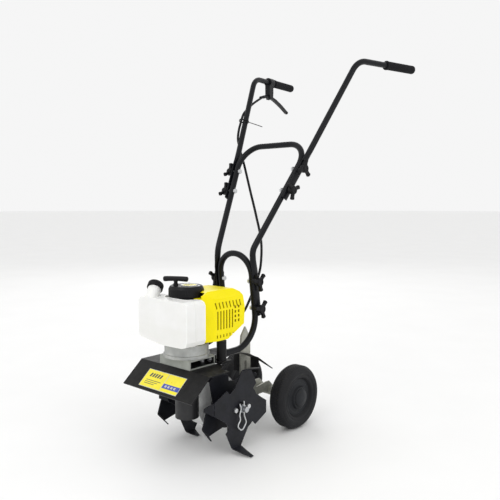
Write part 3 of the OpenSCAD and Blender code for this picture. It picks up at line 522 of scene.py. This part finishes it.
# grips: moulded sleeve with fine rings, inner flange and a rounded end
for side, nm in ((1, "grip_left"), (-1, "grip_right")):
    d = Vector((side * GD[0], GD[1], GD[2]))
    o0 = Vector((side * H3[0], H3[1], H3[2]))
    prof = [(8.6, -125), (12.4, -125), (13.4, -124.2), (13.6, -123), (13.6, -121.2), (12.9, -120.2), (12.0, -119.4)]
    h = -118.0
    while h < -8:
        prof += [(12.0, h), (12.45, h + 0.6), (12.5, h + 1.6), (12.05, h + 2.3)]
        h += 3.3
    prof += [(12.1, -6), (12.5, -5), (12.6, -1.5), (12.1, 0.6), (10.8, 1.9), (8.5, 2.7), (4.0, 3.0), (0, 3.0)]
    finish_mesh(nm, lathe_bm(prof, 64), RUBBER, "frame", ("hand_grips",), smooth=50, matrix=axis_matrix(o0, d))


# knobs: three flared wings on a round hub, with a domed top
def knob(node, side, x0, y, z, turn):
    poly = []
    for k in range(3):
        c = math.radians(turn + 120 * k)
        for lx, ly in ((9.2, -6.4), (12.0, -4.7), (17.5, -4.3), (21.0, -5.2), (24.2, -6.0), (26.2, -4.4), (27.0, -1.6), (27.0, 1.6), (26.2, 4.4), (24.2, 6.0), (21.0, 5.2), (17.5, 4.3), (12.0, 4.7), (9.2, 6.4)):
            poly.append((lx * math.cos(c) - ly * math.sin(c), lx * math.sin(c) + ly * math.cos(c)))
    bm = prism_bm(poly, 6.2, 15.2)
    # local +Z points outwards along side * X; local X is up for side 1
    rot = Matrix(((0, 0, side, 0), (0, 1, 0, 0), (-1, 0, 0, 0), (0, 0, 0, 1)))
    mat = Matrix.Translation(V(x0, y, z) * MM) @ rot
    o = finish_mesh(node + "_wings", bm, KNOBMAT, body_of(node), (node,), smooth=35, matrix=mat)
    add_bevel(o, 1.9, 4, 50)
    hub = lathe_bm([(4.1, 0), (10.4, 0), (11.0, 0.7), (11.0, 5.5), (11.6, 6.6), (11.6, 14.8), (11.0, 15.9), (9.0, 16.6), (7.4, 16.8), (7.0, 16.0), (5.2, 15.8), (0, 15.8)], 48)
    finish_mesh(node + "_hub", hub, KNOBMAT, body_of(node), (), smooth=35, matrix=mat)


LOWZ, TOPZ = (430, 355), (737, 678)
for node, side, i, turn in (("knob_low_left_a", 1, 0, 15), ("knob_low_left_b", 1, 1, 20), ("knob_low_right_a", -1, 0, 355), ("knob_low_right_b", -1, 1, 10)):
    knob(node, side, side * (FLAT + 3.2), hy(LOWZ[i]), LOWZ[i], turn)
for node, side, i, turn in (("knob_top_left_a", 1, 0, 45), ("knob_top_left_b", 1, 1, 350), ("knob_top_right_a", -1, 0, 50), ("knob_top_right_b", -1, 1, 50)):
    u = u_at(TOPZ[i])
    knob(node, side, side * (u[0] + OFF + 5.1), u[1], TOPZ[i], turn)

# ------------------------------------------------- plates and castings ------
skin("frame_base", PLATE, 0.8, 3)
skin("rear_guard", PLATE, 0.5, 2)
skin("engine_bracket", BRACKET, 1.0, 3)
skin("fender", FENDER, 0.5, 2)
skin("gearbox_housing", GEARBOX, 1.4, 3)
skin("tine_hubs", HUB, 0.5, 2)
skin("outer_tines", TINE, 0.45, 2, 40)
skin("inner_tines", TINE, 0.45, 2, 40)
skin("clutch_housing", CAST, 0.9, 3)
skin("muffler", MUFFLER, 0.9, 3)
skin("carburetor", CAST, 0.9, 2)
skin("air_filter", PLASTIC, 1.6, 3)
skin("choke_lever", PLASTIC, 0.8, 3)
skin("lever_perch", PLASTIC, 1.2, 3)
skin("throttle_lever", PLASTIC, 1.2, 3)
skin("wheel_bracket", GALV, 0.5, 2)
skin("drag_stake", GALV, 0.6, 2)
skin("clamp_bolts", ZINC, 0.5, 2)
skin("base_bolts", ZINC, 0.5, 2)
skin("tine_bolts", ZINC, 0.5, 2)
skin("bracket_pins", ZINC, 0.5, 2)
skin("wheel_axle", ZINC, 0.5, 2)
skin("starter_housing", PLASTIC, 1.3, 4)
cover = skin("cylinder_cover", YELLOW, 1.1, 3, 32)
tank = skin("fuel_tank", TANK, 3.2, 4, 24)

# welded seam round the tank's middle
tank_c = [(-100, 314), (-96, 304), (-86, 299.5), (-5, 289), (66, 291), (80, 295), (85, 306), (85, 390), (81, 399), (72, 403.5), (-86, 404.5), (-96, 401), (-100, 391)]


# ------------------------------------------------------------- wheels -------
def wheel(node, side):
    SEG = 360
    cx = 107.4
    prof = [(6.1, -25), (17, -25), (18.5, -23.5), (20, -14), (52, -12), (56, -20.2), (58, -21.5), (73, -24.6), (75, -24.8), (81, -22.6), (84, -21), (88.4, -15.2), (89.6, -12.5),
            (90, -11.5), (90, -8.2), (88.9, -7.6), (88.9, -6.4), (90, -5.8), (90, -0.9), (88.9, -0.5), (88.9, 0.5), (90, 0.9), (90, 5.8), (88.9, 6.4), (88.9, 7.6), (90, 8.2), (90, 11.5),
            (89.6, 12.5), (88.4, 15.2), (84, 20.6), (82.6, 21.6), (80.2, 22.2), (79.4, 23.4), (76.5, 24.3), (75.6, 23.5), (72, 24.4), (68, 23.6), (66.8, 22.2), (62.5, 20.8), (61.2, 21.4), (57.6, 20.2), (56.0, 18.4), (53.6, 13.0), (52.4, 12.0)]

    def tread(r, h, i):
        if r > 88.3 and abs(h) < 15.3:
            k = (i + int(abs(h) * 0.5)) % 5
            return r - (1.5 if k == 0 else 0.0)
        return r
    bm = lathe_bm(prof, SEG, radius=tread)
    m = axis_matrix((side * cx, 0, 90), (side, 0, 0))
    finish_mesh(node + "_tyre", bm, WHEEL, body_of(node), (node,), smooth=28, matrix=m)
    disc = [(52.6, 12.0), (51.4, 12.9), (47.0, 13.2), (46.2, 13.8), (43.0, 13.9), (42.2, 13.4), (36.5, 14.4), (33.0, 17.0), (31.4, 20.4), (30.6, 22.2), (28.6, 23.2), (27.6, 22.7), (26.6, 22.9), (20.0, 23.6), (15.2, 25.0), (6.1, 25.0)]
    finish_mesh(node + "_disc", lathe_bm(disc, 120), WHEELDISC, body_of(node), (), smooth=28, matrix=m)
    # push-on hub cap
    cap = lathe_bm([(0, 31.6), (6.0, 31.4), (12.0, 30.7), (18.0, 29.3), (22.5, 27.4), (24.6, 25.8), (25.6, 24.2), (25.8, 22.6)], 96)
    finish_mesh(node + "_hub_cap", cap, WHEELDISC, body_of(node), (), smooth=40, matrix=m)


wheel("wheel_left", 1)
wheel("wheel_right", -1)

# ------------------------------------------------------------ engine top ----
# fuel cap, knurled, with a raised middle
neck = V(-66.5, -373, 404)
rx, ry = math.radians(-40), math.radians(-28)
CAPM = Matrix.Translation(neck * MM) @ Matrix.Rotation(ry, 4, "Y") @ Matrix.Rotation(rx, 4, "X") @ Matrix.Translation(V(0, 0, 25) * MM)


def knurl(r, h, i):
    if r > 19.7:
        return r - (1.15 if (i % 10) in (0, 1, 2) else (0.35 if (i % 10) in (3, 9) else 0.0))
    return r


cap = lathe_bm([(15.7, 0.2), (20.6, 0.2), (21.0, 0.9), (21.0, 13.6), (20.6, 14.8), (19.4, 16.0), (17.4, 16.9), (15.0, 17.2), (14.2, 16.5), (11.5, 16.4), (10.6, 17.8), (9.0, 18.7), (5, 18.9), (0, 18.9)], 240, radius=knurl)
finish_mesh("fuel_cap_knurled", cap, PLASTIC, "cap", ("fuel_cap",), smooth=30, matrix=CAPM)
ringm = lathe_bm([(15.6, 19.8), (17.02, 20.0), (17.5, 20.9), (17.5, 23.2), (17.02, 24.2), (15.6, 24.4)], 72)
finish_mesh("tank_neck_collar", ringm, TANK, "frame", (), smooth=35,
            matrix=Matrix.Translation(neck * MM) @ Matrix.Rotation(ry, 4, "Y") @ Matrix.Rotation(rx, 4, "X"))

# starter: bright ring and plain yellow disc, three screws, ribs round the side
seam_c = V(6, -310, 433.0)
ringb = lathe_bm([(19.0, 0.0), (19.0, 1.1), (19.7, 1.6), (21.8, 1.6), (22.4, 1.1), (22.4, 0.0)], 96)
finish_mesh("starter_ring", ringb, SILVER, "frame", (), smooth=40, matrix=Matrix.Translation(seam_c * MM))
disc = lathe_bm([(19.1, -0.2), (19.0, 1.0), (15, 1.25), (8, 1.45), (0, 1.5)], 96)
finish_mesh("starter_disc", disc, LBL_YELLOW, "frame", (), smooth=40, matrix=Matrix.Translation(seam_c * MM))
bm = prism_bm([(-11, -4), (-5, 2), (1, -3), (7, 4), (11, 1), (7, 8), (1, 1.5), (-5, 6.5), (-11, 1)], 1.3, 1.75)
finish_mesh("starter_disc_mark", bm, LBL_DARK, "frame", (), smooth=30, matrix=Matrix.Translation(seam_c * MM))
bm = bmesh.new()
for k in range(40):
    a = 2 * math.pi * k / 40
    c, s = math.cos(a), math.sin(a)
    prism = [(44.6, -0.9), (45.5, -0.9), (45.5, 0.9), (44.6, 0.9)]
    prism_bm([((r * c - w * s), (r * s + w * c)) for r, w in prism], 408, 424, bm)
finish_mesh("starter_ribs", bm, PLASTIC, "frame", (), smooth=30, matrix=Matrix.Translation(V(0, EY, 0) * MM))
for k, a in enumerate((0.35, 2.2, 3.6)):
    p = V(36 * math.cos(a), EY + 36 * math.sin(a), 433)
    sc = lathe_bm([(3.3, -0.5), (3.3, 1.4), (2.9, 2.0), (1.5, 2.3), (1.4, 1.2), (0, 1.2)], 24)
    finish_mesh("starter_screw_%d" % k, sc, ZINC, "frame", (), smooth=35, matrix=Matrix.Translation(p * MM))

# pull handle: slightly bowed round bar on a tapered stem
rxp, ryp = -15.0, -337.0
bar = []
rad = []
for k in range(41):
    t = -1 + 2 * k / 40
    x = 34.0 * t
    bar.append(V(x, 0.8 * (1 - t * t) - 0.4, 451 - 1.4 * t * t))
    e = max(0.0, (abs(t) - 0.86) / 0.14)
    rad.append(max(0.4, 6.6 * math.sqrt(max(0.004, 1 - e * e)) * (1 - 0.05 * math.cos(t * 3))))
HM = Matrix.Translation(V(rxp, ryp, 0) * MM) @ Matrix.Rotation(math.radians(30), 4, "Z")
finish_mesh("starter_grip_bar", tube_bm(bar, rad, sides=32, n0=(0, 1, 0)), PLASTIC, "starter_grip", ("starter_handle",), smooth=45, matrix=HM)
stem = lathe_bm([(1.9, 439.4), (4.6, 439.4), (5.0, 440.0), (5.0, 442.5), (5.8, 445.0), (6.2, 448), (5.4, 451)], 40)
finish_mesh("starter_grip_stem", stem, PLASTIC, "starter_grip", (), smooth=45, matrix=HM)
ropeb = lathe_bm([(0, 427.5)] + [(1.8, 427.5 + 16.5 * k / 40) for k in range(41)] + [(0, 444)], 20)
rope = finish_mesh("starter_cord", ropeb, ROPE, "frame", ("starter_rope",), smooth=60, matrix=Matrix.Translation(V(rxp, ryp, 0) * MM))
rope.parent = None
if "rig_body" in rope:
    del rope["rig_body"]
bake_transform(rope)

# seam round the tank, following its outline
seam = [V(x * 1.0, -360, z) for x, z in tank_c]
seam = [p + (p - V(-8, -360, 348)).normalized() * 0.2 for p in seam]
cl = refine(seam + [seam[0]], 6)
bm = bmesh.new()
rows = []
for i, p in enumerate(cl[:-1]):
    q = cl[(i + 1) % (len(cl) - 1)] - cl[i - 1]
    nrm = V(q[2], 0, -q[0]).normalized()
    if nrm.dot(p - V(-8, -360, 348)) < 0:
        nrm = -nrm
    rows.append([bm.verts.new((p + nrm * d + V(0, w, 0)) * MM) for d, w in ((-1.5, -1.6), (0.7, -1.2), (1.1, -0.5), (1.1, 0.5), (0.7, 1.2), (-1.5, 1.6))])
for i in range(len(rows)):
    a, b = rows[i], rows[(i + 1) % len(rows)]
    for j in range(5):
        bm.faces.new((a[j], b[j], b[j + 1], a[j + 1]))
    bm.faces.new((a[5], b[5], b[0], a[0]))
seam_o = finish_mesh("tank_seam", bm, TANK, "frame", (), smooth=50)

# dark sheet of painted shade just inside the cover, so that the slots show a shaded inside
shade_sheet_pts = [(-322, 298), (-247, 298), (-189, 328), (-186, 371), (-195, 407), (-208, 416), (-300, 416)]
bm = bmesh.new()
lo = [bm.verts.new((78.4 * MM, y * MM, z * MM)) for y, z in shade_sheet_pts if y > -321 or True]
hi = [bm.verts.new((77.4 * MM, y * MM, z * MM)) for y, z in shade_sheet_pts]
for v in lo + hi:
    if v.co.y < -0.292:
        v.co.y = -0.291
    if v.co.z > 0.400:
        v.co.z = 0.3995
bm.faces.new(lo)
bm.faces.new(list(reversed(hi)))
for i in range(len(lo)):
    j = (i + 1) % len(lo)
    bm.faces.new((lo[i], hi[i], hi[j], lo[j]))
finish_mesh("cover_shade_sheet", bm, COVER_SHADE_SHEET, "frame", (), smooth=30)

# ---------------------------------------------------------- hairpin clips ---
clip_c = [V(0, 0, 21), V(0, 0, -16), V(0, 9, -38), V(0, -8, -57), V(0, -26, -40), V(0, -13, -26), V(0, -17, -12), V(0, -10.5, 2), V(0, -16, 17)]
rads = [12, 9, 9, 9, 9, 9, 10]
cp = [clip_c[0]]
for i in range(1, 8):
    cp += bend(clip_c, rads[i - 1], i, 7)
cp.append(clip_c[8])
for s in (1, -1):
    bm = tube_bm([p + V(s * 121.5, TY, 114) for p in cp], 1.8, sides=16)
    finish_mesh("hairpin_%s" % ("left" if s > 0 else "right"), bm, ZINC, "tine_drive", ("hitch_clips",), smooth=60)

# -------------------------------------------------------- throttle cable ----
gp = math.asin(GD[2])
perch = Vector((-1, 1, 1)) * (H3 - GD * 150)
perch = V(-(H3 - GD * 150)[0], (H3 - GD * 150)[1], (H3 - GD * 150)[2])
cab = [perch + V(4.95, -28.7, -50.6), perch + V(7.5, -46, -55), V(-199, 192, 983), V(-193, 160, 967), V(-189, 131, 948), V(-181, 99, 925), V(-171.5, 76, 895), V(-166.8, 61.5, 868), V(-162.6, 53.5, 840), V(-153.5, 52, 812),
       V(-138, 45, 785), V(-117, 34, 755), V(-75, 13, 681), V(-45, 6, 607), V(-25, 6, 533), V(-18, -2, 469), V(-20, -13, 425), V(-28, -39, 363), V(-34, -66, 322), V(-40, -115, 302), V(-50, -165, 306), V(-56, -190, 320), V(-60, -211, 341)]


def catmull(a, b, c, d, t):
    return 0.5 * (2 * b + (c - a) * t + (2 * a - 5 * b + 4 * c - d) * t * t + (3 * b - a - 3 * c + d) * t * t * t)


cq = []
for i in range(len(cab) - 1):
    for k in range(8):
        cq.append(catmull(cab[max(0, i - 1)], cab[i], cab[i + 1], cab[min(len(cab) - 1, i + 2)], k / 8))
cq.append(cab[-1])
finish_mesh("throttle_cable_sheath", tube_bm(cq, 3.7, sides=20), CABLE, "frame", ("throttle_cable",), smooth=60)
# ferrule where the cable meets the perch
d0 = (cq[6] - cq[0]).normalized()
fer = lathe_bm([(3.6, -1), (5.0, -1), (5.2, 0), (5.2, 7), (4.9, 8), (4.9, 9), (5.2, 10), (5.2, 13), (4.6, 15), (4.2, 24), (3.7, 32)], 32)
finish_mesh("cable_ferrule", fer, PLASTIC, "frame", (), smooth=40, matrix=axis_matrix(cq[0] + d0 * 1.0, d0))

# cable tie round the right handle and the cable, with its free tail
hr = V(-162.7, 88.9, 899.6)
hdir = (V(-197, 172, 1049) - V(-139.9, 33.6, 800)).normalized()
cc = V(-172.5, 78.0, 898)
loop = []
n1 = (cc - hr); n1 = (n1 - n1.dot(hdir) * hdir).normalized()
n2 = hdir.cross(n1)
sep = (cc - hr).length
for k in range(48):
    a = 2 * math.pi * k / 48
    ca, sa = math.cos(a), math.sin(a)
    if ca >= 0:
        loop.append(hr + n1 * (sep + 4.9 * ca) + n2 * (4.9 + (9.5 - 4.9) * (1 - ca) * 0.35) * sa)
    else:
        loop.append(hr + n1 * (9.5 * ca) + n2 * 9.5 * sa)
bm = bmesh.new()
rows = []
for i, p in enumerate(loop):
    out = (p - (hr + cc) / 2); out = (out - out.dot(hdir) * hdir).normalized()
    rows.append([bm.verts.new((p + out * d + hdir * w) * MM) for d, w in ((0, -2.3), (1.2, -2.3), (1.2, 2.3), (0, 2.3))])
for i in range(len(rows)):
    a, b = rows[i], rows[(i + 1) % len(rows)]
    for j in range(4):
        k = (j + 1) % 4
        bm.faces.new((a[j], b[j], b[k], a[k]))
finish_mesh("cable_tie", bm, PLASTIC, "frame", (), smooth=40)
tail = [V(-158, 80, 899), V(-150, 84, 897), V(-140, 96, 892), V(-130, 110, 887), V(-120, 121, 882)]
bm = tube_bm(refine(tail, 3), 1.0, 2.5, sides=12, n0=(0.3, -0.3, 1))
finish_mesh("cable_tie_tail", bm, PLASTIC, "frame", (), smooth=40)

# rear corners of the fender plate, beside the engine base
for s in (1, -1):
    poly = [(56, -292.4), (98, -292.4), (98, -286), (86, -268), (80, -263), (70, -262), (56, -262)]
    bm = prism_bm([(s * x, y) for x, y in poly], 225.2, 227.9)
    o = finish_mesh("fender_corner_%s" % ("left" if s > 0 else "right"), bm, FENDER, "frame", (), smooth=30)
    add_bevel(o, 0.5, 2, 40)

# spacer plate between the hoop and the left tongue, at the lower joint
for s in (1, -1):
    poly = [(-15, -4), (-14, -5), (14, -5), (15, -4), (15, 4), (14, 5), (-14, 5), (-15, 4)]
    bm = prism_bm(poly, -5.2, 5.2)
    m = Matrix.Translation(V(s * 66, hy(443) - 9.5, 443) * MM) @ Matrix.Rotation(math.radians(90), 4, "X")
    o = finish_mesh("joint_plate_%s" % ("left" if s > 0 else "right"), bm, PLATE, "frame", (), smooth=30,
                    matrix=Matrix.Translation(V(s * 66, hy(443), 443) * MM) @ Matrix.Scale(1.0, 4))
    add_bevel(o, 0.8, 2, 40)


# ---------------------------------------------------------------- labels ----
# a plate lying on the front slope of the fender: u along X, v down the slope
SL = V(0, -0.751, -0.660)
SN = V(0, -0.660, 0.751)
S0 = V(0, -359, 228)


def on_slope(name, u0, u1, v0, v1, t0, t1, m, shear=0.0):
    bm = bmesh.new()
    pts = [(u0, v0), (u1, v0), (u1 + shear, v1), (u0 + shear, v1)]
    lo = [bm.verts.new((S0 + V(u, 0, 0) + SL * v + SN * t0) * MM) for u, v in pts]
    hi = [bm.verts.new((S0 + V(u, 0, 0) + SL * v + SN * t1) * MM) for u, v in pts]
    bm.faces.new(lo)
    bm.faces.new(list(reversed(hi)))
    for i in range(4):
        j = (i + 1) % 4
        bm.faces.new((lo[i], hi[i], hi[j], lo[j]))
    o = finish_mesh(name, bm, m, "frame", (), smooth=30)
    add_bevel(o, 0.12, 2, 40)
    return o


on_slope("label_border", -75, 68, 21, 73, -0.05, 0.25, LBL_SILVER)
on_slope("label_field_left", -73.6, 4.6, 22.4, 71.6, 0.2, 0.42, LBL_YELLOW)
on_slope("label_field_right", 6.4, 66.6, 22.4, 71.6, 0.2, 0.42, LBL_YELLOW)
on_slope("label_blue_strip", 6.4, 66.6, 50, 63, 0.4, 0.52, LBL_BLUE)
for k in range(5):
    on_slope("label_bar_%d" % k, -56 + k * 9.5, -50 + k * 9.5, 31, 42, 0.4, 0.5, LBL_DARK, shear=-3)
for k in range(3):
    on_slope("label_line_%d" % k, -62, -6 - 9 * k, 51 + 5 * k, 52.6 + 5 * k, 0.4, 0.5, LBL_DARK)
for k in range(4):
    on_slope("label_dash_%d" % k, 14 + 11 * k, 21 + 11 * k, 53.5, 59.5, 0.5, 0.6, LBL_SILVER)

# ------------------------------------------------------ floor and lights ----
bm = bmesh.new()
bmesh.ops.create_circle(bm, cap_ends=True, segments=96, radius=40)
me = bpy.data.meshes.new("floor")
bm.to_mesh(me)
bm.free()
t = Tree("floor_paper")
t.put(t.b.inputs["Base Color"], t.mix(t.ramp(t.noise(3, 3), 0.3, 0.7), (0.90, 0.90, 0.895, 1), (0.92, 0.92, 0.915, 1)))
t.b.inputs["Roughness"].default_value = 0.9
me.materials.append(t.m)
floor = bpy.data.objects.new("floor", me)
floor.location.z = -0.0005
bpy.context.scene.collection.objects.link(floor)

world = bpy.data.worlds.new("studio")
world.use_nodes = True
world.node_tree.nodes["Background"].inputs[0].default_value = (1.0, 1.0, 1.0, 1)
world.node_tree.nodes["Background"].inputs[1].default_value = 0.92
bpy.context.scene.world = world
bpy.context.scene.view_settings.view_transform = "Standard"


def area(name, loc, target, size, power, color=(1, 1, 1)):
    d = bpy.data.lights.new(name, "AREA")
    d.shape, d.size, d.energy, d.color = "SQUARE", size, power, color
    o = bpy.data.objects.new(name, d)
    o.location = loc
    o.rotation_euler = (Vector(target) - Vector(loc)).to_track_quat("-Z", "Y").to_euler()
    bpy.context.scene.collection.objects.link(o)


area("key", (0.2, -3.2, 3.2), (0, -0.2, 0.4), 2.2, 30)
area("side", (3.4, -0.2, 1.9), (0, 0, 0.4), 1.8, 13)
area("rim", (-2.6, 2.4, 2.6), (0, 0, 0.6), 1.6, 18)
